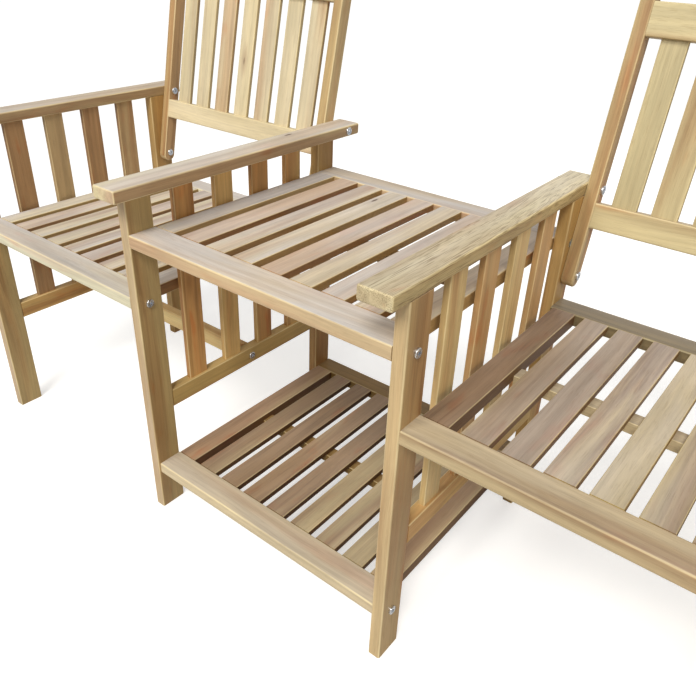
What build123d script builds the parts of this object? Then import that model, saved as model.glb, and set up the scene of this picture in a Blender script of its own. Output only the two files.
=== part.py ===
from build123d import *
from collections import namedtuple
from math import cos, radians, sin
import os

# Garden bench of two seats with a table between them, in acacia wood. Millimetres.
# X runs along the bench, Y from front to back, Z up. The origin is on the floor, under
# the middle of the bench's outline. Left and right are -X and +X, seen from the front.

# Layout
table_width = 473.6
seat_width = 466.4
frame_depth = 476
arm_height = 620
seat_height = 428.6
table_height = 538.5
shelf_height = 101.5

# Legs
leg_thickness = 20
front_leg_depth = 48
rear_leg_depth = 45
leg_round = 3
foot_round = 1.5
leg_tenon_width = 30
leg_tenon_thickness = 9
leg_tenon_length = 12
leg_bolt_inset = 22.5

# Armrests
armrest_width = 48
armrest_thickness = 20
armrest_front_overhang = 35
armrest_rear_overhang = 40
armrest_round = 3.5
armrest_end_round = 3

# Low rails of the arm panels and the stretchers between them
low_rail_underside = 204
low_rail_height = 34
low_rail_round = 2.5
low_rail_tenon_height = 22
low_rail_tenon_thickness = 8
low_rail_tenon_length = 14
stretcher_thickness = 19

# Slats of the arm panels
panel_slat_count = 4
panel_slat_width = 40
panel_slat_thickness = 10
panel_slat_round = 2
panel_tenon_shoulder = 4
panel_tenon_thickness = 5
panel_tenon_length = 10

# Decks: the two seats, the table top and the shelf. The slat at each side of a deck is as
# thick as the rails, and the batten runs between these two, under the thinner slats.
deck_rail_thickness = 21
deck_rail_round = 3
deck_slat_count = 9
deck_slat_thickness = 12
deck_slat_round = 2
deck_tenon_shoulder = 5
deck_tenon_thickness = 6
deck_tenon_length = 8
batten_width = 25
batten_thickness = 17
batten_round = 1.5
batten_place_share = 0.49

seat_front_inset = 1
seat_rear_inset = 9
seat_front_rail_width = 45
seat_rear_rail_width = 43
seat_slat_width = 38.1
seat_side_gap = 2.8

table_rear_overhang = 3
table_front_rail_width = 52.5
table_rear_rail_width = 46.7
table_slat_width = 39

shelf_front_inset = 4
shelf_rear_overhang = 3.4
shelf_front_rail_width = 46
shelf_rear_rail_width = 41
shelf_slat_width = 39

# Backs. Places on them are along the lean from the lower bolt. The lean is in degrees.
back_lean = 12
stile_thickness = 20
stile_depth = 28
stile_span = 395
stile_end_drop = 4.5
stile_above_seat = 31
stile_round = 3
stile_bolt_setback = 2
back_rail_depth = 26
back_rail_round = 2.5
back_bottom_rail_height = 38
back_bottom_rail_place = 97
back_top_rail_height = 45
back_top_rail_drop = 24
back_rail_tenon_thickness = 10
back_rail_tenon_shoulder = 5
back_rail_tenon_length = 12
back_slat_count = 7
back_slat_width = 37.3
back_slat_thickness = 9
back_slat_round = 2.5
back_tenon_shoulder = 4
back_tenon_thickness = 5
back_tenon_length = 12

# Bolts, with a socket of six flats in the head
bolt_radius = 3
bolt_hole_radius = 3.3
bolt_head_radius = 7
bolt_head_height = 3.2
bolt_head_round = 1.2
bolt_socket_radius = 2.9
bolt_socket_depth = 2
bolt_end_gap = 1
bolt_recess_gap = 0.3
thread_clearance = 0.05

# Barrel nuts across the rails' ends, and sleeve nuts with a head like the bolts'
barrel_nut_radius = 5
barrel_nut_length = 14
barrel_nut_inset = 24
barrel_nut_clearance = 0.2
bolt_past_nut = 3
sleeve_radius = 4.5
sleeve_length = 15
sleeve_end_wall = 1
sleeve_clearance = 0.3

# Dowels beside the bolts
dowel_radius = 4
dowel_in_leg = 12
dowel_in_rail = 15
dowel_chamfer = 0.8
dowel_clearance = 0.1
dowel_offset = 12
stretcher_dowel_offset = 10

# Fit of tenons in their sockets, and the overrun of cuts that come out of a face
joint_fit = 0.1
joint_end_gap = 0.4
overrun = 1

# Sizes and places that follow from the ones above
leg_height = arm_height - armrest_thickness
inner_face = table_width / 2 + leg_thickness
outer_face = inner_face + seat_width
lean_sin = sin(radians(back_lean))
lean_cos = cos(radians(back_lean))
stile_bolt_reach = frame_depth - rear_leg_depth / 2 + stile_bolt_setback
stile_bolt_height = seat_height + stile_above_seat + stile_depth / 2 + stile_end_drop * lean_cos
back_reach = stile_bolt_reach + stile_span * lean_sin + stile_depth / 2
leg_front = -(back_reach - armrest_front_overhang) / 2
leg_back = leg_front + frame_depth
front_leg_y = leg_front + front_leg_depth / 2
rear_leg_y = leg_back - rear_leg_depth / 2
front_bolt_y = leg_front + leg_bolt_inset
rear_bolt_y = leg_back - leg_bolt_inset
panel_front = leg_front + front_leg_depth
panel_back = leg_back - rear_leg_depth
panel_y = (panel_front + panel_back) / 2
low_rail_z = low_rail_underside + low_rail_height / 2
low_rail_top = low_rail_underside + low_rail_height
stretcher_dowel_z = low_rail_z + stretcher_dowel_offset
armrest_z = arm_height - armrest_thickness / 2
stile_bolt_y = leg_front + stile_bolt_reach
armrest_bolt_place = (armrest_z - stile_bolt_height) / lean_cos
armrest_bolt_y = stile_bolt_y + armrest_bolt_place * lean_sin
bolt_in_rail = barrel_nut_inset + barrel_nut_radius + bolt_past_nut
bolt_sunk = bolt_head_height + bolt_recess_gap

ALONG_X = (1, 0, 0)
ALONG_Y = (0, 1, 0)
UP = (0, 0, 1)
DOWN = (0, 0, -1)
LEAN_UP = (0, lean_sin, lean_cos)
LEAN_DOWN = (0, -lean_sin, -lean_cos)
LEAN_BACK = (0, lean_cos, -lean_sin)

# A row is a line of like places, spaced along its plane's X. A joint is a row of tenons,
# which stand on the plane and point along its Z. A bore starts on its plane.
Row = namedtuple("Row", "plane pitch count")
Joint = namedtuple("Joint", "row width thickness length")
Bore = namedtuple("Bore", "plane radius depth")
Panel = namedtuple("Panel", "name seat_face toward_seat holds_table")
Deck = namedtuple(
    "Deck",
    "name left right top front front_width back rear_width slat_width side_gap rear_dowel_side",
)

panels = [
    Panel("left_outer", seat_face=-outer_face, toward_seat=1, holds_table=False),
    Panel("left_inner", seat_face=-inner_face, toward_seat=-1, holds_table=True),
    Panel("right_inner", seat_face=inner_face, toward_seat=1, holds_table=True),
    Panel("right_outer", seat_face=outer_face, toward_seat=-1, holds_table=False),
]
sides = (("left", -outer_face), ("right", inner_face))
seats = [
    Deck(
        f"{side}_seat",
        left=seat_left,
        right=seat_left + seat_width,
        top=seat_height,
        front=leg_front + seat_front_inset,
        front_width=seat_front_rail_width,
        back=leg_back - seat_rear_inset,
        rear_width=seat_rear_rail_width,
        slat_width=seat_slat_width,
        side_gap=seat_side_gap,
        rear_dowel_side=-1,
    )
    for side, seat_left in sides
]
table = Deck(
    "table",
    left=-table_width / 2,
    right=table_width / 2,
    top=table_height,
    front=leg_front,
    front_width=table_front_rail_width,
    back=leg_back + table_rear_overhang,
    rear_width=table_rear_rail_width,
    slat_width=table_slat_width,
    side_gap=0,
    rear_dowel_side=1,
)
shelf = Deck(
    "shelf",
    left=-table_width / 2,
    right=table_width / 2,
    top=shelf_height,
    front=leg_front + shelf_front_inset,
    front_width=shelf_front_rail_width,
    back=leg_back + shelf_rear_overhang,
    rear_width=shelf_rear_rail_width,
    slat_width=shelf_slat_width,
    side_gap=0,
    rear_dowel_side=1,
)
decks = [*seats, table, shelf]


def toward(sign):
    return (sign, 0, 0)


def across(x, y, z, sign):
    """A plane across the bench's length, whose Z points along X and whose X points back."""
    return Plane(origin=(x, y, z), x_dir=ALONG_Y, z_dir=toward(sign))


def single(plane):
    return Row(plane, pitch=0, count=1)


def through_bore(x, y, z, sign, depth, radius):
    """A bore from the face at x that comes out of the far face."""
    return Bore(across(x, y, z, sign), radius, depth + overrun)


def carved(piece, sockets, bores):
    with BuildPart() as result:
        add(piece.part)
        for socket in sockets:
            with BuildSketch(socket.row.plane):
                with GridLocations(socket.row.pitch, 0, socket.row.count, 1):
                    Rectangle(socket.width + 2 * joint_fit, socket.thickness + 2 * joint_fit)
            extrude(amount=socket.length + joint_end_gap, mode=Mode.SUBTRACT)
        for bore in bores:
            with BuildSketch(bore.plane):
                Circle(bore.radius)
            extrude(amount=bore.depth, mode=Mode.SUBTRACT)
    return result


def wood(section, length, row, ends=(), end_round=0, tenons=(), sockets=(), bores=()):
    """A straight piece of wood, or a row of them, with its tenons, sockets and bores."""
    with BuildPart() as piece:
        with BuildSketch(row.plane):
            with GridLocations(row.pitch, 0, row.count, 1):
                RectangleRounded(*section)
        extrude(amount=length)
        for end in ends:
            end_face = piece.faces().sort_by(Axis(row.plane.origin, row.plane.z_dir))[end]
            fillet(end_face.edges(), end_round)
        for tenon in tenons:
            with BuildSketch(tenon.row.plane):
                with GridLocations(tenon.row.pitch, 0, tenon.row.count, 1):
                    Rectangle(tenon.width, tenon.thickness)
            extrude(amount=tenon.length)
    return carved(piece, sockets, bores)


def save(piece, name):
    piece.part.label = name
    export_step(piece.part, f"parts/{name}.step")


def panel_mid(panel):
    return panel.seat_face - panel.toward_seat * leg_thickness / 2


def panel_far_face(panel):
    return panel.seat_face - panel.toward_seat * leg_thickness


def armrest_edge(panel):
    return panel.seat_face - panel.toward_seat * armrest_width


# Joints of an arm panel
def leg_top_joint(panel, y):
    plane = Plane(origin=(panel_mid(panel), y, leg_height), x_dir=ALONG_X, z_dir=UP)
    return Joint(single(plane), leg_tenon_thickness, leg_tenon_width, leg_tenon_length)


def low_rail_joint(panel, y, direction):
    plane = Plane(origin=(panel_mid(panel), y, low_rail_z), x_dir=ALONG_X, z_dir=direction)
    height = low_rail_tenon_height
    return Joint(single(plane), low_rail_tenon_thickness, height, low_rail_tenon_length)


def panel_slat_row(panel, z, direction):
    clear = panel_back - panel_front
    gap = (clear - panel_slat_count * panel_slat_width) / (panel_slat_count + 1)
    plane = Plane(origin=(panel_mid(panel), panel_y, z), x_dir=ALONG_Y, z_dir=direction)
    return Row(plane, panel_slat_width + gap, panel_slat_count)


def panel_slat_joint(panel, z, direction):
    width = panel_slat_width - 2 * panel_tenon_shoulder
    row = panel_slat_row(panel, z, direction)
    return Joint(row, width, panel_tenon_thickness, panel_tenon_length)


# Legs. The seat's bolts go in from the far side of the panel, the table's from the seat.
def leg_bores(panel, y, seat_dowel_y, table_dowel_y):
    far_face = panel_far_face(panel)
    to_seat = panel.toward_seat
    to_table = -to_seat
    seat_z = deck_rail_z(seats[0])
    bores = [through_bore(far_face, y, seat_z, to_seat, leg_thickness, bolt_hole_radius)]
    bores.append(dowel_bore(panel.seat_face, seat_dowel_y, seat_z, to_table, dowel_in_leg))
    if panel.holds_table:
        for deck in (table, shelf):
            z = deck_rail_z(deck)
            start = panel.seat_face
            bores.append(through_bore(start, y, z, to_table, leg_thickness, bolt_hole_radius))
            bores.append(dowel_bore(far_face, table_dowel_y, z, to_seat, dowel_in_leg))
    return bores


def stile_bolt_bores(panel):
    """The stile's bolt hole in the rear leg, wider where the sleeve nut goes in."""
    place = (panel_far_face(panel), stile_bolt_y, stile_bolt_height, panel.toward_seat)
    sleeve_hole = Bore(across(*place), sleeve_radius + sleeve_clearance, sleeve_length + bolt_end_gap)
    return [through_bore(*place, leg_thickness, bolt_hole_radius), sleeve_hole]


def recess_bore(panel):
    """The recess for the table bolt whose head the stile covers."""
    place = across(panel.seat_face, rear_bolt_y, deck_rail_z(table), -panel.toward_seat)
    return Bore(place, bolt_head_radius + bolt_recess_gap, bolt_sunk)


def armrest_bolt_bore(panel):
    """The armrest's bolt hole, also where it would meet the tenon of the rear leg."""
    place = (armrest_edge(panel), armrest_bolt_y, armrest_z, panel.toward_seat)
    return through_bore(*place, armrest_width, bolt_hole_radius)


def dowel_bore(x, y, z, sign, depth):
    return Bore(across(x, y, z, sign), dowel_radius + dowel_clearance, depth + joint_end_gap)


def build_leg(panel, name, y, depth, rail_joint, bores):
    leg = wood(
        (leg_thickness, depth, leg_round),
        leg_height,
        single(Plane(origin=(panel_mid(panel), y, 0), x_dir=ALONG_X, z_dir=UP)),
        ends=[0],
        end_round=foot_round,
        tenons=[leg_top_joint(panel, y)],
        sockets=[rail_joint],
        bores=bores,
    )
    save(leg, f"{panel.name}_{name}")


def build_panel(panel):
    front_joint = low_rail_joint(panel, panel_front, (0, -1, 0))
    rear_joint = low_rail_joint(panel, panel_back, ALONG_Y)
    front_dowel_y = front_bolt_y - dowel_offset
    seat_dowel_y = rear_bolt_y - dowel_offset
    table_dowel_y = rear_bolt_y + dowel_offset
    front_bores = leg_bores(panel, front_bolt_y, front_dowel_y, front_dowel_y)
    rear_bores = leg_bores(panel, rear_bolt_y, seat_dowel_y, table_dowel_y)
    rear_bores += [*stile_bolt_bores(panel), armrest_bolt_bore(panel)]
    if panel.holds_table:
        rear_bores.append(recess_bore(panel))
    build_leg(panel, "front_leg", front_leg_y, front_leg_depth, front_joint, front_bores)
    build_leg(panel, "rear_leg", rear_leg_y, rear_leg_depth, rear_joint, rear_bores)

    slats_foot = panel_slat_joint(panel, low_rail_top, DOWN)
    slats_head = panel_slat_joint(panel, leg_height, UP)
    slats = wood(
        (panel_slat_width, panel_slat_thickness, panel_slat_round),
        leg_height - low_rail_top,
        panel_slat_row(panel, low_rail_top, UP),
        tenons=[slats_foot, slats_head],
    )
    save(slats, f"{panel.name}_slats")

    rail_start = (panel_mid(panel), panel_front, low_rail_z)
    bolt_place = (panel_far_face(panel), panel_y, low_rail_z, panel.toward_seat)
    dowel_place = (panel.seat_face, panel_y, stretcher_dowel_z, -panel.toward_seat)
    low_rail = wood(
        (leg_thickness, low_rail_height, low_rail_round),
        panel_back - panel_front,
        single(Plane(origin=rail_start, x_dir=ALONG_X, z_dir=ALONG_Y)),
        tenons=[front_joint, rear_joint],
        sockets=[slats_foot],
        bores=[
            through_bore(*bolt_place, leg_thickness, bolt_hole_radius),
            dowel_bore(*dowel_place, dowel_in_leg),
        ],
    )
    save(low_rail, f"{panel.name}_low_rail")
    build_armrest(panel, slats_head)


def build_armrest(panel, slats_head):
    middle_x = (panel.seat_face + armrest_edge(panel)) / 2
    start = (middle_x, leg_front - armrest_front_overhang, armrest_z)
    armrest = wood(
        (armrest_width, armrest_thickness, armrest_round),
        armrest_front_overhang + frame_depth + armrest_rear_overhang,
        single(Plane(origin=start, x_dir=ALONG_X, z_dir=ALONG_Y)),
        ends=[0, -1],
        end_round=armrest_end_round,
        sockets=[slats_head, leg_top_joint(panel, front_leg_y), leg_top_joint(panel, rear_leg_y)],
        bores=[armrest_bolt_bore(panel)],
    )
    save(armrest, f"{panel.name}_armrest")


# Decks. Each end of a front or rear rail takes one bolt and one dowel.
def deck_rail_z(deck):
    return deck.top - deck_rail_thickness / 2


def rear_dowel_y(deck):
    return rear_bolt_y + deck.rear_dowel_side * dowel_offset


def deck_ends(deck):
    """The deck's two ends, each with the direction from there into the deck."""
    return ((deck.left, 1), (deck.right, -1))


def deck_slat_joint(deck, y, direction, thickness, pitch, count):
    middle = ((deck.left + deck.right) / 2, y, deck.top - thickness / 2)
    row = Row(Plane(origin=middle, x_dir=ALONG_X, z_dir=direction), pitch, count)
    width = deck.slat_width - 2 * deck_tenon_shoulder
    return Joint(row, width, deck_tenon_thickness, deck_tenon_length)


def rail_end_bores(x, sign, bolt_y, bolt_z, dowel_y, dowel_z, underside):
    """The bolt hole, the dowel hole and the nut's pocket at one end of a rail."""
    nut_place = Plane(origin=(x + sign * barrel_nut_inset, bolt_y, underside), z_dir=UP)
    pocket_depth = bolt_z + barrel_nut_length / 2 - underside
    return [
        Bore(across(x, bolt_y, bolt_z, sign), bolt_hole_radius, bolt_in_rail + bolt_end_gap),
        dowel_bore(x, dowel_y, dowel_z, sign, dowel_in_rail),
        Bore(nut_place, barrel_nut_radius + barrel_nut_clearance, pocket_depth),
    ]


def build_deck_rail(deck, name, y, width, bolt_y, dowel_y, slat_joints):
    z = deck_rail_z(deck)
    underside = deck.top - deck_rail_thickness
    bores = []
    for x, sign in deck_ends(deck):
        bores += rail_end_bores(x, sign, bolt_y, z, dowel_y, z, underside)
    rail = wood(
        (width, deck_rail_thickness, deck_rail_round),
        deck.right - deck.left,
        single(across(deck.left, y, z, 1)),
        sockets=slat_joints,
        bores=bores,
    )
    save(rail, f"{deck.name}_{name}")


def build_deck(deck):
    slats_front = deck.front + deck.front_width
    slats_back = deck.back - deck.rear_width
    side_slat_place = deck.side_gap + deck.slat_width
    side_pitch = deck.right - deck.left - deck.side_gap - side_slat_place
    rows = (
        ("slats", deck_slat_thickness, side_pitch / (deck_slat_count - 1), deck_slat_count - 2),
        ("side_slats", deck_rail_thickness, side_pitch, 2),
    )
    front_joints = []
    rear_joints = []
    for name, *row in rows:
        front_joints.append(deck_slat_joint(deck, slats_front, (0, -1, 0), *row))
        rear_joints.append(deck_slat_joint(deck, slats_back, ALONG_Y, *row))
        thickness = row[0]
        slats = wood(
            (deck.slat_width, thickness, deck_slat_round),
            slats_back - slats_front,
            deck_slat_joint(deck, slats_front, ALONG_Y, *row).row,
            tenons=[front_joints[-1], rear_joints[-1]],
        )
        save(slats, f"{deck.name}_{name}")

    front_dowel_y = front_bolt_y - dowel_offset
    front_y = deck.front + deck.front_width / 2
    rear_y = deck.back - deck.rear_width / 2
    front = (front_y, deck.front_width, front_bolt_y, front_dowel_y, front_joints)
    rear = (rear_y, deck.rear_width, rear_bolt_y, rear_dowel_y(deck), rear_joints)
    build_deck_rail(deck, "front_rail", *front)
    build_deck_rail(deck, "rear_rail", *rear)

    batten_y = slats_front + (slats_back - slats_front) * batten_place_share
    batten_z = deck.top - deck_slat_thickness - batten_thickness / 2
    batten = wood(
        (batten_width, batten_thickness, batten_round),
        deck.right - deck.left - 2 * side_slat_place,
        single(across(deck.left + side_slat_place, batten_y, batten_z, 1)),
    )
    save(batten, f"{deck.name}_batten")


def build_stretcher(side, left):
    bores = []
    for x, sign in ((left, 1), (left + seat_width, -1)):
        holes = (panel_y, low_rail_z, panel_y, stretcher_dowel_z, low_rail_underside)
        bores += rail_end_bores(x, sign, *holes)
    stretcher = wood(
        (stretcher_thickness, low_rail_height, low_rail_round),
        seat_width,
        single(across(left, panel_y, low_rail_z, 1)),
        bores=bores,
    )
    save(stretcher, f"{side}_stretcher")


# Backs
def lean_point(x, along):
    return (x, stile_bolt_y + along * lean_sin, stile_bolt_height + along * lean_cos)


def back_rail_joint(x, along, rail_height, sign):
    plane = Plane(origin=lean_point(x, along), x_dir=LEAN_BACK, z_dir=toward(sign))
    height = rail_height - 2 * back_rail_tenon_shoulder
    return Joint(single(plane), back_rail_tenon_thickness, height, back_rail_tenon_length)


def build_stile(name, leg_x, sign, joints):
    """A stile on the rear leg's seat side. Its lower rounded end goes past the lower bolt."""
    middle = (stile_span - stile_end_drop) / 2
    start = Plane(origin=lean_point(leg_x, middle), x_dir=LEAN_UP, z_dir=toward(sign))
    free_x = leg_x + sign * stile_thickness
    sleeve_place = across(free_x, armrest_bolt_y, armrest_z, -sign)
    lower_place = (leg_x, stile_bolt_y, stile_bolt_height, sign)
    upper_place = (leg_x, armrest_bolt_y, armrest_z, sign)
    with BuildPart() as stile:
        with BuildSketch(start):
            SlotCenterToCenter(stile_span + stile_end_drop, stile_depth)
        extrude(amount=stile_thickness)
        fillet(stile.faces().filter_by(Axis.X).edges(), stile_round)
    bores = [
        through_bore(*lower_place, stile_thickness, bolt_hole_radius),
        through_bore(*upper_place, stile_thickness, bolt_hole_radius),
        Bore(sleeve_place, sleeve_radius + sleeve_clearance, sleeve_length + bolt_end_gap),
    ]
    save(carved(stile, joints, bores), name)


def build_back(side, left):
    rail_left = left + stile_thickness
    rail_right = left + seat_width - stile_thickness
    rail_length = rail_right - rail_left
    bottom_place = back_bottom_rail_place
    top_place = stile_span - back_top_rail_drop
    rails = (
        ("bottom_rail", bottom_place, back_bottom_rail_height),
        ("top_rail", top_place, back_top_rail_height),
    )
    left_joints = [back_rail_joint(rail_left, place, height, -1) for _, place, height in rails]
    right_joints = [back_rail_joint(rail_right, place, height, 1) for _, place, height in rails]
    stile_names = ("outer_stile", "inner_stile")
    left_name, right_name = stile_names if side == "left" else reversed(stile_names)
    build_stile(f"{side}_back_{left_name}", left, 1, left_joints)
    build_stile(f"{side}_back_{right_name}", left + seat_width, -1, right_joints)

    slats_low = bottom_place + back_bottom_rail_height / 2
    slats_high = top_place - back_top_rail_height / 2
    gap = (rail_length - back_slat_count * back_slat_width) / (back_slat_count + 1)
    middle = (rail_left + rail_right) / 2
    tenon_width = back_slat_width - 2 * back_tenon_shoulder

    def slat_row(along, direction):
        plane = Plane(origin=lean_point(middle, along), x_dir=ALONG_X, z_dir=direction)
        return Row(plane, back_slat_width + gap, back_slat_count)

    slat_joints = [
        Joint(slat_row(along, direction), tenon_width, back_tenon_thickness, back_tenon_length)
        for along, direction in ((slats_low, LEAN_DOWN), (slats_high, LEAN_UP))
    ]
    slats = wood(
        (back_slat_width, back_slat_thickness, back_slat_round),
        slats_high - slats_low,
        slat_row(slats_low, LEAN_UP),
        tenons=slat_joints,
    )
    save(slats, f"{side}_back_slats")

    for number, (name, place, height) in enumerate(rails):
        start = Plane(origin=lean_point(rail_left, place), x_dir=LEAN_BACK, z_dir=ALONG_X)
        rail = wood(
            (back_rail_depth, height, back_rail_round),
            rail_length,
            single(start),
            tenons=[left_joints[number], right_joints[number]],
            sockets=[slat_joints[number]],
        )
        save(rail, f"{side}_back_{name}")


# Fasteners. A place is x, y, z and the direction along X in which the shank points.
def placed(piece, places):
    with BuildPart() as group:
        with Locations(*[across(*place) for place in places]):
            add(piece.part)
    return group


def round_head():
    """A bolt's or sleeve nut's head, under the plane where the shank starts."""
    with BuildPart() as head:
        with BuildSketch(Plane.XY):
            Circle(bolt_head_radius)
        extrude(amount=-bolt_head_height)
        fillet(head.edges().sort_by(Axis.Z)[0], bolt_head_round)
        with BuildSketch(Plane.XY.offset(-bolt_head_height)):
            RegularPolygon(bolt_socket_radius, 6)
        extrude(amount=bolt_socket_depth, mode=Mode.SUBTRACT)
    return head


def bolt(shank_length):
    head = round_head()
    with BuildPart() as piece:
        add(head.part)
        with BuildSketch(Plane.XY):
            Circle(bolt_radius)
        extrude(amount=shank_length)
    return piece


def sleeve_nut():
    head = round_head()
    with BuildPart() as piece:
        add(head.part)
        with BuildSketch(Plane.XY):
            Circle(sleeve_radius)
        extrude(amount=sleeve_length)
        with BuildSketch(Plane.XY.offset(sleeve_end_wall)):
            Circle(bolt_radius + thread_clearance)
        extrude(amount=sleeve_length, mode=Mode.SUBTRACT)
    return piece


def barrel_nut():
    """A round bar that lies along the plane's Y, with the bolt's hole along its Z."""
    with BuildPart() as piece:
        with BuildSketch(Plane.XZ.offset(-barrel_nut_length / 2)):
            Circle(barrel_nut_radius)
        extrude(amount=barrel_nut_length)
        with BuildSketch(Plane.XY.offset(-barrel_nut_radius)):
            Circle(bolt_radius + thread_clearance)
        extrude(amount=2 * barrel_nut_radius, mode=Mode.SUBTRACT)
    return piece


def dowel():
    with BuildPart() as piece:
        with BuildSketch(Plane.XY.offset(-dowel_in_leg)):
            Circle(dowel_radius)
        extrude(amount=dowel_in_leg + dowel_in_rail)
        chamfer(piece.edges().filter_by(GeomType.CIRCLE), dowel_chamfer)
    return piece


def end_places(deck, y, set_back):
    """One place at each end of the deck, set back from it by a length along X."""
    return [(x - sign * set_back, y, deck_rail_z(deck), sign) for x, sign in deck_ends(deck)]


def rail_places(some_decks, set_back):
    return [
        place
        for deck in some_decks
        for y in (front_bolt_y, rear_bolt_y)
        for place in end_places(deck, y, set_back)
    ]


def build_bolts():
    shank = leg_thickness + bolt_in_rail
    stretcher_places = [
        (panel_far_face(panel), panel_y, low_rail_z, panel.toward_seat) for panel in panels
    ]
    table_places = end_places(table, front_bolt_y, leg_thickness)
    table_places += end_places(table, rear_bolt_y, leg_thickness - bolt_sunk)
    other_places = rail_places([*seats, shelf], leg_thickness) + stretcher_places
    save(placed(bolt(shank), other_places), "rail_bolts")
    save(placed(bolt(shank - bolt_sunk), table_places), "table_rail_bolts")

    nut_places = rail_places(decks, -barrel_nut_inset)
    for x, y, z, sign in stretcher_places:
        nut_places.append((x + sign * (leg_thickness + barrel_nut_inset), y, z, sign))
    save(placed(barrel_nut(), nut_places), "barrel_nuts")


def build_stile_fasteners():
    arm_places = []
    stile_places = []
    nut_places = []
    for panel in panels:
        sign = panel.toward_seat
        free_x = panel.seat_face + sign * stile_thickness
        arm_places.append((armrest_edge(panel), armrest_bolt_y, armrest_z, sign))
        nut_places.append((free_x, armrest_bolt_y, armrest_z, -sign))
        stile_places.append((free_x, stile_bolt_y, stile_bolt_height, -sign))
        nut_places.append((panel_far_face(panel), stile_bolt_y, stile_bolt_height, sign))
    end_gap = sleeve_end_wall + bolt_end_gap
    arm_shank = armrest_width + stile_thickness - end_gap
    stile_shank = leg_thickness + stile_thickness - end_gap
    save(placed(bolt(arm_shank), arm_places), "armrest_bolts")
    save(placed(bolt(stile_shank), stile_places), "stile_bolts")
    save(placed(sleeve_nut(), nut_places), "sleeve_nuts")


def build_dowels():
    places = []
    for deck in decks:
        places += end_places(deck, front_bolt_y - dowel_offset, 0)
        places += end_places(deck, rear_dowel_y(deck), 0)
    for panel in panels:
        places.append((panel.seat_face, panel_y, stretcher_dowel_z, panel.toward_seat))
    save(placed(dowel(), places), "rail_dowels")


os.makedirs("parts", exist_ok=True)
for each_panel in panels:
    build_panel(each_panel)
for each_deck in decks:
    build_deck(each_deck)
for each_side, each_left in sides:
    build_back(each_side, each_left)
    build_stretcher(each_side, each_left)
build_bolts()
build_stile_fasteners()
build_dowels()
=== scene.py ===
import math
import random
from collections import namedtuple

import bpy
from mathutils import Matrix, Vector


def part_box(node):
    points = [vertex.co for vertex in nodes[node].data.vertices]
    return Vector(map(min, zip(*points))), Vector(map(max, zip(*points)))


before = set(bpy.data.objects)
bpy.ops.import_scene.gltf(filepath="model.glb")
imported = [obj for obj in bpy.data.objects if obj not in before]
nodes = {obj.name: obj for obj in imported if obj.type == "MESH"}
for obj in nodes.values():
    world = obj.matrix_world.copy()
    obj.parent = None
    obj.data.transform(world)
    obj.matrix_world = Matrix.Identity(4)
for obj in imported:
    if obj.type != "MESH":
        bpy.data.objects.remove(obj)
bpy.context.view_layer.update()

# Dressing of the slatted garden bench: oiled acacia that has begun to weather, zinc-plated
# bolts, a pale studio floor and soft light. Metres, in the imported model's frame.
RANDOM_SEED = 11
scene = bpy.context.scene
rng = random.Random(RANDOM_SEED)

# Camera of the photograph: its place and the range that it sees in metres, its angles in
# degrees, its focal length, the picture's side and its centre in pixels, the sensor in mm
CAMERA_PLACE = (0.60361, -0.82589, 0.94200)
CAMERA_NEAR, CAMERA_FAR = 0.02, 100.0
CAMERA_YAW, CAMERA_PITCH, CAMERA_ROLL = 37.64, -30.80, 2.04
CAMERA_FOCAL = 703.27
PICTURE = 696
CAMERA_CENTRE = (341.52, 342.98)
SENSOR = 36.0

# Lamps: an area lamp's size is in metres and its energy in watts, a sun's size in degrees
Lamp = namedtuple("Lamp", "kind place aim size energy tone")
LAMPS = {
    "key_sun": Lamp("SUN", (1.1, -2.5, 3.2), (0, 0, 0), 20, 2.1, (255, 252, 246)),
    "key_light": Lamp("AREA", (-0.6, -2.2, 2.3), (-0.1, 0, 0.4), 1.0, 36, (255, 252, 246)),
    "back_light": Lamp("AREA", (0, 2.6, 1.7), (0, 0, 0.5), 1.6, 11, (255, 250, 242)),
    "fill_light": Lamp("AREA", (1.5, 0.1, 0.8), (0.25, 0, 0.5), 0.8, 4, (255, 238, 208)),
}

# Floor and backdrop. What the camera sees of them is brighter than the light that they give
# the bench, so that they stay pale and plain.
WHITE = (1.0, 1.0, 1.0, 1.0)
FLOOR_REACH = 30.0
FLOOR_TONES = ((214, 214, 214), (218, 218, 217))
FLOOR_CLOUD_CELLS, FLOOR_CLOUD_OCTAVES, FLOOR_CLOUD_EDGE = 3.0, 3.0, (0.3, 0.7)
FLOOR_GLOW = 0.56
FLOOR_ROUGHNESS = 0.85
FLOOR_GLOSS = 0.1
SKY_LIGHT = 0.22
SKY_IN_GLOSS = 0.25
SKY_FOR_CAMERA = 0.80

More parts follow.
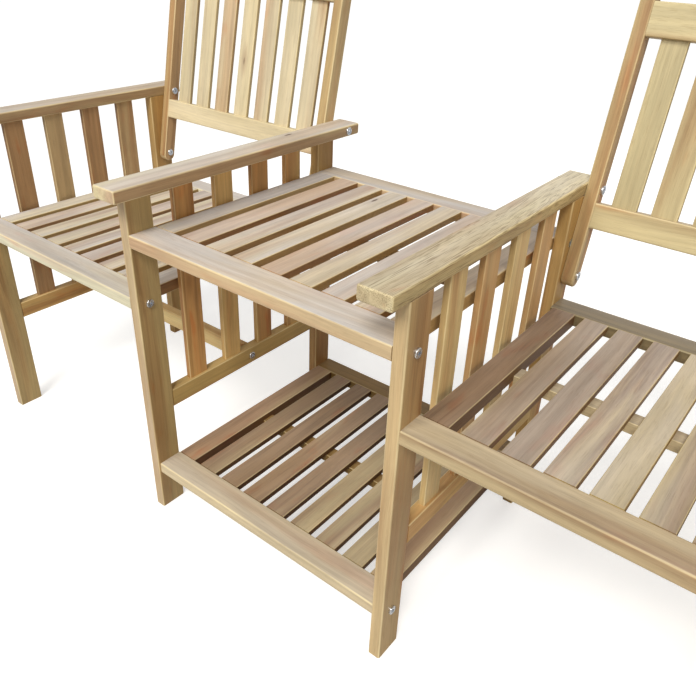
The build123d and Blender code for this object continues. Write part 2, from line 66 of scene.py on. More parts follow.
# Woods: sapwood and heartwood tones in sRGB, how far the top faces and the front faces are
# paled, partly as weathered bleaching and partly as painted light, how bold the dark streaks
# and the open pores are, and the share of heartwood. A wood that is used for slats alone has
# its shares in HEARTWOOD.
Wood = namedtuple("Wood", "sapwood heartwood top front streaks pores heart", defaults=(None,))
WOODS = {
    "table": ((214, 193, 152), (190, 157, 125), 0.84, 0.00, 0.50, 0.05),
    # The table's side slats get paler wood as painted light, offsetting the armrest's shadow on
    # them
    "table_side": ((246, 229, 190), (230, 204, 170), 1.00, 0.00, 0.40, 0.05),
    "table_rail": ((201, 176, 136), (188, 155, 121), 1.08, 0.02, 0.40, 0.05, 0.40),
    # The shelf's woods are darker, their tops little paled, partly as painted shade under the
    # table
    "shelf": ((175, 157, 118), (148, 121, 91), 0.15, 0.00, 0.40, 0.05),
    "shelf_side": ((182, 159, 117), (162, 130, 99), 0.15, 0.00, 0.40, 0.05),
    "shelf_rail": ((200, 182, 145), (181, 152, 120), 0.45, 0.08, 0.35, 0.05, 0.35),
    "shelf_back_rail": ((140, 110, 58), (116, 86, 42), 0.04, 0.00, 0.35, 0.05, 0.35),
    # Left and right kinds of the seats, seat rails, backs and legs differ partly in painted
    # light: the left ones paler, with paled fronts, the right ones darker, for light falling off
    # from left to right
    "left_seat": ((230, 216, 176), (195, 169, 149), 0.85, 0.10, 0.50, 0.05),
    "right_seat": ((197, 176, 122), (157, 131, 103), 0.50, 0.00, 0.70, 0.05),
    "right_seat_side": ((174, 153, 112), (146, 118, 91), 0.20, 0.00, 0.60, 0.05),
    "left_seat_rail": ((228, 222, 188), (214, 196, 166), 1.25, 0.20, 0.25, 0.05, 0.25),
    "right_seat_rail": ((184, 164, 124), (165, 138, 100), 0.32, 0.05, 0.40, 0.10, 0.35),
    "right_seat_back_rail": ((131, 114, 80), (114, 96, 64), 0.15, 0.00, 0.40, 0.10, 0.35),
    "armrest": ((209, 195, 152), (184, 157, 124), 1.25, 0.12, 0.40, 0.10, 0.40),
    "porous": ((210, 197, 155), (188, 170, 130), 0.55, 0.15, 0.30, 0.50, 0.45),
    "left_back": ((214, 198, 156), (194, 166, 124), 0.25, 0.20, 0.25, 0.05, 0.25),
    "right_back": ((201, 186, 143), (182, 155, 112), 0.25, 0.00, 0.25, 0.05, 0.25),
    "left_leg": ((209, 187, 135), (193, 159, 109), 0.25, 0.40, 0.45, 0.08, 0.40),
    "right_leg": ((198, 173, 129), (184, 147, 104), 0.25, 0.00, 0.45, 0.08, 0.40),
    "rear_leg": ((202, 168, 108), (187, 142, 86), 0.25, 0.00, 0.45, 0.08, 0.40),
    "stile": ((206, 183, 137), (190, 154, 110), 0.25, 0.00, 0.45, 0.08, 0.40),
    "low_rail": ((206, 175, 111), (190, 148, 90), 0.10, 0.00, 0.45, 0.08, 0.40),
    "left_panel": ((222, 187, 123), (206, 158, 98), 0.20, 0.00, 0.45, 0.08),
    "outer_panel": ((192, 165, 122), (177, 139, 97), 0.20, 0.00, 0.45, 0.08),
    "right_panel": ((223, 198, 144), (207, 168, 117), 0.20, 0.00, 0.45, 0.08),
    "stretcher": ((236, 210, 148), (218, 180, 118), 0.20, 0.00, 0.35, 0.08, 0.40),
    "dowel": ((222, 196, 152), (200, 166, 120), 0.00, 0.00, 0.10, 0.05, 0.20),
}
# Kinds of the rails and battens that don't take the wood of their deck's front rail. The
# battens and the shelf's rear rail take the darkest wood, partly as painted shade under the
# decks.
RAIL_WOODS = {
    "shelf_batten": "shelf_back_rail",
    "table_batten": "shelf_back_rail",
    "shelf_rear_rail": "shelf_back_rail",
    "right_seat_rear_rail": "right_seat_back_rail",
}

# Share of heartwood in each slat, from left to right or from front to back. The first and
# the last of a deck are its side slats, which have a node of their own.
HEARTWOOD = {
    "table": (0.10, 0.80, 0.35, 0.55, 0.85, 0.30, 0.60, 0.40, 0.55),
    "shelf": (0.85, 0.70, 1.00, 1.00, 0.75, 0.40, 0.50, 0.20, 0.75),
    "right_seat": (0.95, 0.90, 1.00, 1.00, 0.00, 0.15, 0.60, 0.80, 0.50),
    "left_seat": (0.20, 0.50, 0.30, 0.75, 0.45, 0.60, 0.80, 0.35, 0.55),
    "left_outer": (0.85, 0.25, 0.95, 0.70),
    "left_inner": (0.90, 0.30, 0.75, 0.60),
    "right_inner": (0.25, 0.85, 0.30, 0.75),
    "right_outer": (0.40, 0.80, 0.20, 0.65),
    "left_back": (0.30, 0.10, 0.55, 0.20, 0.40, 0.15, 0.60),
    "right_back": (0.20, 0.35, 0.10, 0.50, 0.25, 0.60, 0.15),
}
SLAT_WIDTH = {"table": 0.039, "shelf": 0.039, "seat": 0.0381, "back": 0.0373, "panel": 0.040}

# Tones of weather and wear in sRGB; the paled tone of the tops and fronts is partly painted
# light. A tint multiplies the tone that it is laid on.
BLEACHED_AND_LIT = (214, 206, 196)
COOL_BLEACHED_AND_LIT = (204, 198, 196)
# The lighter, golden tone of the rounded edges is a painted highlight
EDGE_HIGHLIGHT_TONE = (238, 222, 174)
KNOT_TONE = (74, 46, 30)
RED_TINT = (255, 214, 190)
DARK_TINT = (184, 160, 140)
DASH_TINT = (196, 190, 170)

# Tints of the side faces: a golden oil tone that is partly painted shade for the frame, and
# painted shade for the faces between a deck's slats
GOLDEN_OIL_AND_SHADE = (235, 228, 217)
GAP_PAINTED_SHADE = {
    "shelf": (158, 130, 100),
    "table": (200, 178, 144),
    "left_seat": (200, 178, 144),
    "right_seat": (206, 182, 142),
}

# Features of the wood's figure. Each is a noise with so many cells per metre along the grain
# and across it, its octaves and their roughness, and the levels where it starts and is full.
Figure = namedtuple("Figure", "along across octaves roughness start full")
HEART_BAND = Figure(1.2, 24.0, 2.0, 0.55, -0.10, 0.12)
LINE = Figure(2.4, 170.0, 3.0, 0.65, 0.30, 0.70)
BROAD_LINE = Figure(1.6, 62.0, 2.0, 0.50, 0.34, 0.66)
STREAK = Figure(2.2, 70.0, 3.0, 0.62, 0.52, 0.66)
CLOUD = Figure(6.0, 14.0, 2.0, 0.50, 0.30, 0.70)
FLUSH = Figure(11.0, 42.0, 2.0, 0.50, 0.56, 0.72)
FIBRE = Figure(18.0, 640.0, 2.0, 0.60, 0.30, 0.72)
PORE = Figure(34.0, 900.0, 1.0, 0.50, 0.58, 0.72)
DASH = Figure(26.0, 860.0, 1.0, 0.50, 0.50, 0.62)
DASH_ROW = Figure(3.0, 110.0, 2.0, 0.50, 0.26, 0.54)
WORN_PATCH = Figure(2.4, 14.0, 3.0, 0.50, 0.28, 0.70)
END_PORE = Figure(60.0, 520.0, 2.0, 0.50, 0.35, 0.68)
POLISH_CELLS = (6.0, 40.0, 40.0)

# How far pieces are cut from each other in the tree, in metres along, across and through the
# grain, and how far the grain sways
CUT_SPREAD = (9.0, 5.0, 7.0)
SWAY_CELLS = (2.6, 5.0, 5.0)
SWAY_OCTAVES = 1.0
SWAY_REACH = (0.0, 0.030, 0.030)
NOISE_MIDDLE = (0.5, 0.5, 0.5)

# Level of the bands where heartwood starts: for no heartwood, and its change for all of it
NO_HEART_LEVEL, HEART_LEVEL_CHANGE = 0.70, -0.40

# Knots: cells per metre, the chance range that makes a cell a knot, and the distances from
# its middle, in cells, over which the knot and the dark grain round it fade
KNOT_CELLS = (6.0, 22.0, 22.0)
KNOT_CHANCE = (0.90, 0.92)
KNOT_EDGE = (0.035, 0.075)
HALO_EDGE = (0.04, 0.26)

# Strength of each feature in the colour
STREAK_IN_SAPWOOD = 0.25
FLUSH_SHARE = 0.75
HALO_SHARE = 0.55
PORE_SHARE = 0.14
KNOT_SHARE = 0.85
COOL_SHARE = 0.70
HEART_KEPT = 0.30
WORN_LEAST, WORN_CHANGE = 0.42, 0.80
EDGE_HIGHLIGHT_LEAST, EDGE_HIGHLIGHT_CHANGE = 0.20, 0.40
END_SHARE, END_HEART_SHARE = 0.85, 0.25

# Brightness, roughness and height: a base, and what each feature adds to it
BRIGHTNESS = {
    "base": 0.64, "broad line": 0.12, "line": 0.14, "cloud": 0.12, "fibre": 0.07, "piece": 0.16,
}
ROUGHNESS = {"base": 0.42, "polish": 0.20, "bleach": 0.14, "edge": -0.07, "pore": 0.10}
HEIGHT = {"base": 0.0, "line": -0.18, "fibre": 0.45, "pore": -0.45, "dash": -0.50, "knot": 0.35}

# Ranges of a normal's part over which a face comes to count as turned that way, as an end
# of the grain or, for its largest part, as a rounded edge
FACING = (0.62, 0.97)
END_FACING = (0.80, 0.97)
EDGE_FACING = (0.99, 0.86)

# Oil on the wood, and the depth of its grain in metres
WOOD_SPECULAR = 0.42
OIL_COAT, OIL_ROUGHNESS = 0.06, 0.35
GRAIN_STRENGTH, GRAIN_DEPTH = 0.55, 0.0006

# Zinc: tone and roughness of bolts and nuts, and their bloom, spots, painted highlight on
# the rim and marks
ZINC = {"bolts": ((236, 240, 246), 0.16), "nuts": ((220, 225, 234), 0.24)}
BLOOM_TINT, RIM_HIGHLIGHT_TONE, SPOT_TONE = (196, 200, 208), (236, 238, 240), (150, 146, 138)
BLOOM_CELLS, BLOOM_OCTAVES, BLOOM_BREAKUP = 260.0, 3.0, 0.60
BLOOM_EDGE, BLOOM_ROUGHNESS = (0.35, 0.65), 0.20
SPOT_CELLS, SPOT_EDGE, SPOT_SHARE = 900.0, (0.58, 0.72), 0.35
RIM_FACING, RIM_HIGHLIGHT_SHARE = (0.97, 0.70), 0.50
MARK_CELLS, MARK_STRENGTH, MARK_DEPTH = (300.0, 2400.0, 2400.0), 0.25, 0.0001

# Directions. The backs lean backwards from the upright by this angle.
LEAN = math.radians(12)
AXIS_X, AXIS_Y, AXIS_Z = (1, 0, 0), (0, 1, 0), (0, 0, 1)
LEAN_UP = (0, math.sin(LEAN), math.cos(LEAN))
LEAN_BACK = (0, math.cos(LEAN), -math.sin(LEAN))

# Axes of a piece's wood, and a row of slats: the row's direction, the slats' shares of
# heartwood and their width
Axes = namedtuple("Axes", "grain across through")
Row = namedtuple("Row", "axis shares width")

# Where the chance of each slat is read, so that no two nodes share it, and the place where a
# new stop of a colour ramp is made before it gets its own
CHANCE_SPREAD, CHANCE_START = 50, 0.37
NEW_STOP = 0.999

# Sockets of the mix node for colours, by number, because other types of data share their names
MIX_FACTOR, MIX_A, MIX_B, MIX_RESULT = 0, 6, 7, 2

# The sRGB curve
SRGB_KNEE, SRGB_SLOPE, SRGB_OFFSET, SRGB_POWER = 0.04045, 12.92, 0.055, 2.4


def linear(rgb):
    """An sRGB tone of 0 to 255 as linear red, green, blue and alpha."""
    out = []
    for channel in rgb:
        c = channel / 255
        curved = ((c + SRGB_OFFSET) / (1 + SRGB_OFFSET)) ** SRGB_POWER
        out.append(c / SRGB_SLOPE if c <= SRGB_KNEE else curved)
    return (*out, 1.0)


class Graph:
    """Short calls that add a node to a tree and return its output."""

    def __init__(self, tree):
        self.tree = tree

    def node(self, kind, **settings):
        made = self.tree.nodes.new(kind)
        for key, value in settings.items():
            setattr(made, key, value)
        return made

    def feed(self, socket, value):
        if isinstance(value, bpy.types.NodeSocket):
            self.tree.links.new(value, socket)
        elif value is not None:
            socket.default_value = value

    def math(self, operation, a, b=None, c=None, clamp=False):
        n = self.node("ShaderNodeMath", operation=operation, use_clamp=clamp)
        for socket, value in zip(n.inputs, (a, b, c)):
            self.feed(socket, value)
        return n.outputs[0]

    def times(self, a, b):
        return self.math("MULTIPLY", a, b)

    def total(self, shares, clamp=False, **features):
        """The base of a table of shares, with each feature added by its share."""
        out = shares["base"]
        last = list(features)[-1]
        for name, value in features.items():
            share = shares[name.replace("_", " ")]
            out = self.math("MULTIPLY_ADD", value, share, out, clamp=clamp and name == last)
        return out

    def vector(self, operation, a, b=None, scale=None):
        n = self.node("ShaderNodeVectorMath", operation=operation)
        self.feed(n.inputs[0], a)
        self.feed(n.inputs[1], b)
        if scale is not None:
            self.feed(n.inputs["Scale"], scale)
        return n.outputs["Value" if operation == "DOT_PRODUCT" else "Vector"]

    def combine(self, x, y, z):
        n = self.node("ShaderNodeCombineXYZ")
        for socket, value in zip(n.inputs, (x, y, z)):
            self.feed(socket, value)
        return n.outputs[0]

    def separate(self, vector):
        n = self.node("ShaderNodeSeparateXYZ")
        self.feed(n.inputs[0], vector)
        return n.outputs

    def noise(self, vector, scale=1.0, detail=2.0, roughness=0.5, out=0):
        n = self.node("ShaderNodeTexNoise")
        self.feed(n.inputs["Vector"], vector)
        for name, value in (("Scale", scale), ("Detail", detail), ("Roughness", roughness)):
            self.feed(n.inputs[name], value)
        return n.outputs[out]

    def figure(self, point, feature):
        """The noise of a feature of the wood, stretched along the grain."""
        cells = (feature.along, feature.across, feature.across)
        stretched = self.vector("MULTIPLY", point, cells)
        return self.noise(stretched, detail=feature.octaves, roughness=feature.roughness)

    def range(self, value, low, high, to_low=0.0, to_high=1.0, smooth=True):
        curve = "SMOOTHSTEP" if smooth else "LINEAR"
        n = self.node("ShaderNodeMapRange", interpolation_type=curve)
        for socket, given in zip(n.inputs, (value, low, high, to_low, to_high)):
            self.feed(socket, given)
        return n.outputs[0]

    def fade(self, value, low, high):
        return self.range(value, low, high, 1.0, 0.0)

    def mix(self, factor, a, b, blend="MIX"):
        n = self.node("ShaderNodeMix", data_type="RGBA", blend_type=blend)
        self.feed(n.inputs[MIX_FACTOR], factor)
        self.feed(n.inputs[MIX_A], a)
        self.feed(n.inputs[MIX_B], b)
        return n.outputs[MIX_RESULT]

    def tint(self, tone, by):
        return self.mix(1.0, tone, by, "MULTIPLY")

    def bump(self, shader, height, strength, depth):
        n = self.node("ShaderNodeBump")
        n.inputs["Strength"].default_value = strength
        n.inputs["Distance"].default_value = depth
        self.feed(n.inputs["Height"], height)
        self.feed(shader.inputs["Normal"], n.outputs[0])


GROUP_INPUTS = {
    "Position": "Vector", "Normal": "Vector", "BleachAndLight": "Float", "SideOilAndShade": "Float",
    "Piece": "Vector", "Heart": "Float", "Sapwood": "Color", "Heartwood": "Color",
    "Shade": "Color", "Streaks": "Float", "Pores": "Float",
}
GROUP_OUTPUTS = {"Color": "Color", "Roughness": "Float", "Height": "Float"}


def acacia_group():
    """The wood itself. Position is along the grain, across it and through the thickness."""
    group = bpy.data.node_groups.new("acacia", "ShaderNodeTree")
    for way, sockets in (("INPUT", GROUP_INPUTS), ("OUTPUT", GROUP_OUTPUTS)):
        for name, kind in sockets.items():
            group.interface.new_socket(name, in_out=way, socket_type=f"NodeSocket{kind}")
    g = Graph(group)
    given = g.node("NodeGroupInput").outputs
    out = g.node("NodeGroupOutput").inputs
    streaks, pores = given["Streaks"], given["Pores"]
    sapwood, heartwood = given["Sapwood"], given["Heartwood"]

    # Each piece is cut from another part of the tree, and its grain sways a little.
    cut = g.vector("MULTIPLY", given["Piece"], CUT_SPREAD)
    moved = g.vector("ADD", given["Position"], cut)
    sway = g.noise(g.vector("MULTIPLY", moved, SWAY_CELLS), detail=SWAY_OCTAVES, out=1)
    sway = g.vector("MULTIPLY", g.vector("SUBTRACT", sway, NOISE_MIDDLE), SWAY_REACH)
    bent = g.vector("ADD", moved, sway)

    def level(feature):
        return g.range(g.figure(bent, feature), feature.start, feature.full)

    # Heartwood lies in long bands beside the sapwood, and holds most of the dark streaks.
    threshold = g.math("MULTIPLY_ADD", given["Heart"], HEART_LEVEL_CHANGE, NO_HEART_LEVEL)
    bands = g.math("SUBTRACT", g.figure(bent, HEART_BAND), threshold)
    heart = g.range(bands, HEART_BAND.start, HEART_BAND.full)
    in_heart = g.math("MULTIPLY_ADD", heart, 1 - STREAK_IN_SAPWOOD, STREAK_IN_SAPWOOD)
    streak = g.times(level(STREAK), in_heart)
    line, broad_line, cloud = level(LINE), level(BROAD_LINE), level(CLOUD)
    flush, pore = level(FLUSH), level(PORE)
    dash = g.times(level(DASH), level(DASH_ROW))
    fibre = g.figure(bent, FIBRE)

    # A few small knots, with the grain darker round them
    cells = g.node("ShaderNodeTexVoronoi", feature="F1")
    g.feed(cells.inputs["Vector"], g.vector("MULTIPLY", bent, KNOT_CELLS))
    g.feed(cells.inputs["Scale"], 1.0)
    rare = g.range(g.separate(cells.outputs["Color"])[0], *KNOT_CHANCE)
    knot = g.times(g.fade(cells.outputs["Distance"], *KNOT_EDGE), rare)
    halo = g.times(g.fade(cells.outputs["Distance"], *HALO_EDGE), rare)

    # Tones
    tone = g.mix(heart, sapwood, heartwood)
    red = g.tint(tone, linear(RED_TINT))
    tone = g.mix(g.times(g.times(flush, heart), FLUSH_SHARE), tone, red)
    dark = g.tint(heartwood, linear(DARK_TINT))
    tone = g.mix(g.times(streak, streaks), tone, dark)
    tone = g.mix(g.times(halo, HALO_SHARE), tone, dark)
    brightness = g.total(
        BRIGHTNESS,
        broad_line=broad_line,
        line=line,
        cloud=cloud,
        fibre=g.range(fibre, FIBRE.start, FIBRE.full, smooth=False),
        piece=g.separate(given["Piece"])[2],
    )
    tone = g.vector("SCALE", tone, scale=brightness)

    # The side faces take their own darker tint: painted shade, which on the frame is partly a
    # golden oil tone. The tops and fronts are paled to a grey-beige, unevenly and the heartwood
    # less, partly as weathered bleaching and partly as painted light.
    tone = g.mix(given["SideOilAndShade"], tone, g.tint(tone, given["Shade"]))
    patches = level(WORN_PATCH)
    worn = g.math("MULTIPLY_ADD", patches, WORN_CHANGE, WORN_LEAST)
    bleach = g.math("MULTIPLY", given["BleachAndLight"], worn, clamp=True)
    grey = g.mix(g.times(patches, COOL_SHARE), linear(BLEACHED_AND_LIT), linear(COOL_BLEACHED_AND_LIT))
    grey = g.vector("SCALE", grey, scale=brightness)
    tone = g.mix(g.times(bleach, g.math("MULTIPLY_ADD", heart, -HEART_KEPT, 1.0)), tone, grey)

    # Rounded edges get a painted highlight in a lighter, more golden tone, and end grain is
    # darker.
    turned = [g.math("ABSOLUTE", part) for part in g.separate(given["Normal"])]
    flat = g.math("MAXIMUM", g.math("MAXIMUM", turned[0], turned[1]), turned[2])
    end = g.range(turned[0], *END_FACING)
    edge = g.times(g.range(flat, *EDGE_FACING), g.math("SUBTRACT", 1.0, end))
    edge_highlight = g.times(edge, g.math("MULTIPLY_ADD", cloud, EDGE_HIGHLIGHT_CHANGE, EDGE_HIGHLIGHT_LEAST))
    tone = g.mix(edge_highlight, tone, linear(EDGE_HIGHLIGHT_TONE))
    end_pore = g.range(g.figure(moved, END_PORE), END_PORE.start, END_PORE.full)
    end_tone = g.mix(end_pore, g.mix(END_HEART_SHARE, tone, heartwood), tone)
    tone = g.mix(g.times(end, END_SHARE), tone, end_tone)
    tone = g.mix(g.times(pore, PORE_SHARE), tone, dark)
    open_dash = g.times(dash, pores)
    tone = g.mix(open_dash, tone, g.tint(dark, linear(DASH_TINT)))
    tone = g.mix(g.times(knot, KNOT_SHARE), tone, linear(KNOT_TONE))
    g.feed(out["Color"], tone)

    # Surface
    polish = g.noise(g.vector("MULTIPLY", moved, POLISH_CELLS))
    rough = g.total(ROUGHNESS, polish=polish, bleach=bleach, edge=edge, pore=pore, clamp=True)
    height = g.total(HEIGHT, line=line, fibre=fibre, pore=pore, dash=open_dash, knot=knot)
    g.feed(out["Roughness"], rough)
    g.feed(out["Height"], height)
    return group


ACACIA = acacia_group()


def new_material(name):
    made = bpy.data.materials.new(name)
    made.use_nodes = True
    made.node_tree.nodes.clear()
    g = Graph(made.node_tree)
    shader = g.node("ShaderNodeBsdfPrincipled")
    output = g.node("ShaderNodeOutputMaterial")
    g.tree.links.new(shader.outputs[0], output.inputs[0])
    return made, g, shader


def middle(low, high, axis):
    """Where the middle of a box lies along an axis."""
    return (Vector(low) + Vector(high)).dot(Vector(axis)) / 2


def slat_places(g, point, low, high, row, seed):
    """In a row of slats, the place across a slat, the slat's cut and its share of heartwood."""
    count = len(row.shares)
    start = Vector(low).dot(Vector(row.axis))
    span = Vector(high).dot(Vector(row.axis)) - start
    gap = (span - count * row.width) / (count - 1)
    pitch = row.width + gap
    place = g.vector("DOT_PRODUCT", point, row.axis)
    step = g.math("MULTIPLY_ADD", place, 1 / pitch, (gap / 2 - start) / pitch)
    number = g.math("FLOOR", step)
    inside = g.math("SUBTRACT", g.math("SUBTRACT", step, number), 0.5)
    chance = g.node("ShaderNodeTexWhiteNoise", noise_dimensions="1D")
    g.feed(chance.inputs["W"], g.math("ADD", number, seed[0] * CHANCE_SPREAD + CHANCE_START))
    ramp = g.node("ShaderNodeValToRGB")
    ramp.color_ramp.interpolation = "CONSTANT"
    stops = ramp.color_ramp.elements
    ready = len(stops)
    for index, share in enumerate(row.shares):
        stop = stops[index] if index < ready else stops.new(NEW_STOP)
        stop.position = index / count
        stop.color = (share, share, share, 1.0)
    g.feed(ramp.inputs["Fac"], g.math("DIVIDE", g.math("ADD", number, 0.5), float(count)))
    return g.times(inside, pitch), chance.outputs["Color"], ramp.outputs["Color"]


def wood(node, kind, axes, row=None):
    """A wood material for one node, with its own cut of wood for each slat of a row."""
    stock = Wood(*WOODS[kind])
    made, g, shader = new_material(f"{kind}_wood_{node}")
    low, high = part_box(node)
    place = g.node("ShaderNodeTexCoord")
    point, normal = place.outputs["Object"], place.outputs["Normal"]
    seed = Vector((rng.random(), rng.random(), rng.random()))

    def from_middle(axis):
        return g.math("SUBTRACT", g.vector("DOT_PRODUCT", point, axis), middle(low, high, axis))

    if row:
        side, piece, heart = slat_places(g, point, low, high, row, seed)
    else:
        side, piece, heart = from_middle(axes.across), g.combine(*seed), stock.heart
    position = g.combine(from_middle(axes.grain), side, from_middle(axes.through))
    turned = g.combine(*(g.vector("DOT_PRODUCT", normal, axis) for axis in axes))

    # The tops and the fronts are paled, partly by weather and partly as painted light. Painted
    # shade darkens the sides along X, on the panels and stiles those along Y, and every upright
    # side of the rear legs.
    facing = g.separate(normal)
    upward = g.times(g.range(facing[2], *FACING), stock.top)
    forward = g.times(g.range(facing[1], *(-part for part in FACING)), stock.front)
    inward = g.math("ABSOLUTE", facing[1 if kind.endswith(("panel", "low_rail", "stile")) else 0])
    if kind == "rear_leg":
        inward = g.math("SUBTRACT", 1.0, g.math("ABSOLUTE", facing[2]))

    timber = g.node("ShaderNodeGroup")
    timber.node_tree = ACACIA
    for name, value in (
        ("Position", position),
        ("Normal", turned),
        ("BleachAndLight", g.math("ADD", upward, forward)),
        ("SideOilAndShade", g.range(inward, *FACING)),
        ("Piece", piece),
        ("Heart", heart),
        ("Sapwood", linear(stock.sapwood)),
        ("Heartwood", linear(stock.heartwood)),
        ("Shade", linear(GAP_PAINTED_SHADE.get(kind.removesuffix("_side"), GOLDEN_OIL_AND_SHADE))),
        ("Streaks", stock.streaks),
        ("Pores", stock.pores),
    ):
        g.feed(timber.inputs[name], value)
    g.feed(shader.inputs["Base Color"], timber.outputs["Color"])
    g.feed(shader.inputs["Roughness"], timber.outputs["Roughness"])
    shader.inputs["Specular IOR Level"].default_value = WOOD_SPECULAR
    shader.inputs["Coat Weight"].default_value = OIL_COAT
    shader.inputs["Coat Roughness"].default_value = OIL_ROUGHNESS
    g.bump(shader, timber.outputs["Height"], GRAIN_STRENGTH, GRAIN_DEPTH)
    return made


def zinc(name, tone, rough):
    """Zinc plating: a faint cloudy bloom, a painted highlight on the rim and fine turning marks.
    """
    made, g, shader = new_material(name)
    place = g.node("ShaderNodeTexCoord")
    point, normal = place.outputs["Object"], place.outputs["Normal"]
    bloom = g.noise(point, BLOOM_CELLS, BLOOM_OCTAVES, BLOOM_BREAKUP)
    spots = g.range(g.noise(point, SPOT_CELLS), *SPOT_EDGE)
    rim = g.range(g.math("ABSOLUTE", g.separate(normal)[0]), *RIM_FACING)
    clouded = g.tint(linear(tone), linear(BLOOM_TINT))
    colour = g.mix(g.range(bloom, *BLOOM_EDGE), clouded, linear(tone))
    colour = g.mix(g.times(rim, RIM_HIGHLIGHT_SHARE), colour, linear(RIM_HIGHLIGHT_TONE))
    colour = g.mix(g.times(spots, SPOT_SHARE), colour, linear(SPOT_TONE))
    g.feed(shader.inputs["Base Color"], colour)
    g.feed(shader.inputs["Roughness"], g.math("MULTIPLY_ADD", bloom, BLOOM_ROUGHNESS, rough))
    shader.inputs["Metallic"].default_value = 1.0
    marks = g.noise(g.vector("MULTIPLY", point, MARK_CELLS))
    g.bump(shader, marks, MARK_STRENGTH, MARK_DEPTH)
    return made


def dress(node, material):
    """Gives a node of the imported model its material."""
    target = nodes[node]
    if not target.material_slots:
        target.data.materials.append(material)
    for slot in target.material_slots:
        slot.link = "OBJECT"
        slot.material = material


def timber_of(name):
    """The kind of wood of a node, the axes of its grain, and its row if it holds slats."""
    side, last = name.split("_")[0], name.split("_")[-1]
    if last == "dowels":
        return "dowel", Axes(AXIS_X, AXIS_Y, AXIS_Z)
    if name.endswith("_back_slats"):
        back = name.removesuffix("_slats")
        row = Row(AXIS_X, HEARTWOOD[back], SLAT_WIDTH["back"])
        return back, Axes(LEAN_UP, AXIS_X, LEAN_BACK), row
    if last == "stile":
        return "stile", Axes(LEAN_UP, AXIS_X, LEAN_BACK)
    if "_back_" in name:
        return f"{side}_back", Axes(AXIS_X, LEAN_UP, LEAN_BACK)
    if name.endswith(("_inner_slats", "_outer_slats")):
        panel = name.removesuffix("_slats")
        kind = "outer_panel" if panel.endswith("outer") else f"{side}_panel"
        row = Row(AXIS_Y, HEARTWOOD[panel], SLAT_WIDTH["panel"])
        return kind, Axes(AXIS_Z, AXIS_Y, AXIS_X), row
    if last == "slats":
        deck = name.removesuffix("_slats").removesuffix("_side")
        kind, shares = deck, HEARTWOOD[deck][1:-1]
        if name.endswith("_side_slats"):
            kind = f"{deck}_side" if f"{deck}_side" in WOODS else deck
            shares = (HEARTWOOD[deck][0], HEARTWOOD[deck][-1])
        row = Row(AXIS_X, shares, SLAT_WIDTH[deck.split("_")[-1]])
        return kind, Axes(AXIS_Y, AXIS_X, AXIS_Z), row
    if last == "leg":
        kind = "rear_leg" if "rear" in name else f"{side}_leg"
        return kind, Axes(AXIS_Z, AXIS_Y, AXIS_X)
    if last == "armrest":
        kind = "porous" if name == "right_inner_armrest" else "armrest"
        return kind, Axes(AXIS_Y, AXIS_X, AXIS_Z)
    if name.endswith("_low_rail"):
        return "low_rail", Axes(AXIS_Y, AXIS_Z, AXIS_X)
    if last == "stretcher":
        return "stretcher", Axes(AXIS_X, AXIS_Z, AXIS_Y)
    deck = name.removesuffix("_batten").removesuffix("_rear_rail").removesuffix("_front_rail")
    return RAIL_WOODS.get(name, f"{deck}_rail"), Axes(AXIS_X, AXIS_Y, AXIS_Z)


for name in sorted(nodes):
    fastener = name.split("_")[-1]
    if fastener in ZINC:
        dress(name, zinc(f"zinc_{name}", *ZINC[fastener]))
    else:
        dress(name, wood(name, *timber_of(name)))


def photo_camera():
    yaw, pitch, roll = (math.radians(a) for a in (CAMERA_YAW, CAMERA_PITCH, CAMERA_ROLL))
    across, along = -math.sin(yaw) * math.cos(pitch), math.cos(yaw) * math.cos(pitch)
    ahead = Vector((across, along, math.sin(pitch)))
    level = ahead.cross(Vector(AXIS_Z)).normalized()
    above = level.cross(ahead)
    right = math.cos(roll) * level + math.sin(roll) * above
    upward = -math.sin(roll) * level + math.cos(roll) * above
    data = bpy.data.cameras.new("camera")
    data.sensor_width = SENSOR
    data.sensor_fit = "HORIZONTAL"
    data.lens = CAMERA_FOCAL * SENSOR / PICTURE
    data.shift_x = (PICTURE / 2 - CAMERA_CENTRE[0]) / PICTURE
    data.shift_y = (CAMERA_CENTRE[1] - PICTURE / 2) / PICTURE
    data.clip_start = CAMERA_NEAR
    data.clip_end = CAMERA_FAR
    camera = bpy.data.objects.new("camera", data)
    turn = Matrix((right, upward, -ahead)).transposed().to_4x4()
    camera.matrix_world = Matrix.Translation(CAMERA_PLACE) @ turn
    scene.collection.objects.link(camera)
    scene.camera = camera


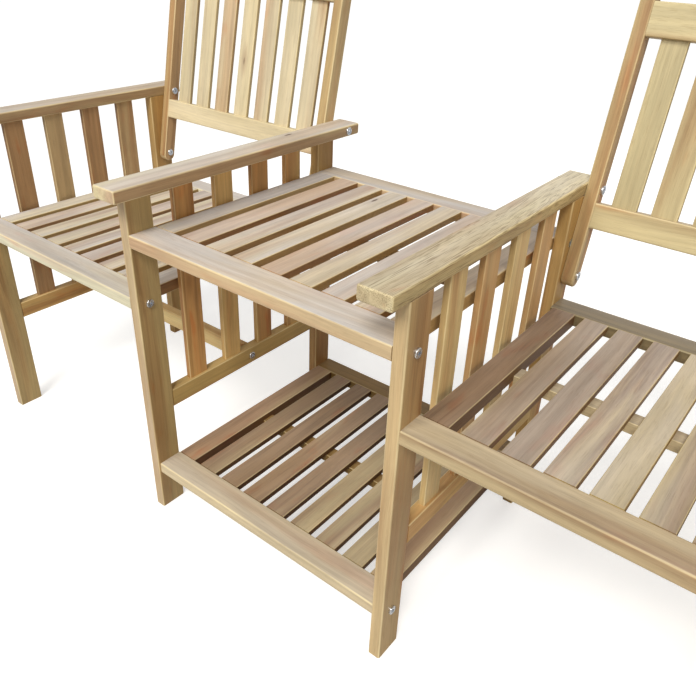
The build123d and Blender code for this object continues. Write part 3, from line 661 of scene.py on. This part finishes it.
def pale_floor():
    low, high = -FLOOR_REACH, FLOOR_REACH
    mesh = bpy.data.meshes.new("studio_floor")
    corners = [(low, low, 0), (high, low, 0), (high, high, 0), (low, high, 0)]
    mesh.from_pydata(corners, [], [(0, 1, 2, 3)])
    floor = bpy.data.objects.new("studio_floor", mesh)
    made, g, shader = new_material("pale_floor")
    place = g.node("ShaderNodeTexCoord").outputs["Object"]
    clouds = g.noise(place, FLOOR_CLOUD_CELLS, FLOOR_CLOUD_OCTAVES)
    clouds = g.range(clouds, *FLOOR_CLOUD_EDGE)
    g.feed(shader.inputs["Base Color"], g.mix(clouds, *(linear(tone) for tone in FLOOR_TONES)))
    shader.inputs["Emission Color"].default_value = WHITE
    camera_ray = g.node("ShaderNodeLightPath").outputs["Is Camera Ray"]
    g.feed(shader.inputs["Emission Strength"], g.times(camera_ray, FLOOR_GLOW))
    shader.inputs["Roughness"].default_value = FLOOR_ROUGHNESS
    shader.inputs["Specular IOR Level"].default_value = FLOOR_GLOSS
    mesh.materials.append(made)
    scene.collection.objects.link(floor)


def soft_lamp(name, lamp):
    data = bpy.data.lights.new(name, lamp.kind)
    if lamp.kind == "SUN":
        data.angle = math.radians(lamp.size)
    else:
        data.shape = "RECTANGLE"
        data.size = data.size_y = lamp.size
    data.energy = lamp.energy
    data.color = linear(lamp.tone)[:3]
    made = bpy.data.objects.new(name, data)
    made.location = lamp.place
    ray = Vector(lamp.aim) - Vector(lamp.place)
    made.rotation_euler = ray.to_track_quat("-Z", "Y").to_euler()
    scene.collection.objects.link(made)


def pale_sky():
    world = bpy.data.worlds.new("studio")
    world.use_nodes = True
    g = Graph(world.node_tree)
    backdrop = world.node_tree.nodes["Background"]
    backdrop.inputs["Color"].default_value = WHITE
    rays = g.node("ShaderNodeLightPath").outputs
    light = g.math("MULTIPLY_ADD", rays["Is Glossy Ray"], SKY_IN_GLOSS, SKY_LIGHT)
    light = g.math("MULTIPLY_ADD", rays["Is Camera Ray"], SKY_FOR_CAMERA, light)
    g.feed(backdrop.inputs["Strength"], light)
    scene.world = world


photo_camera()
pale_floor()
for name, lamp in LAMPS.items():
    soft_lamp(name, lamp)
pale_sky()
scene.view_settings.view_transform = "Standard"
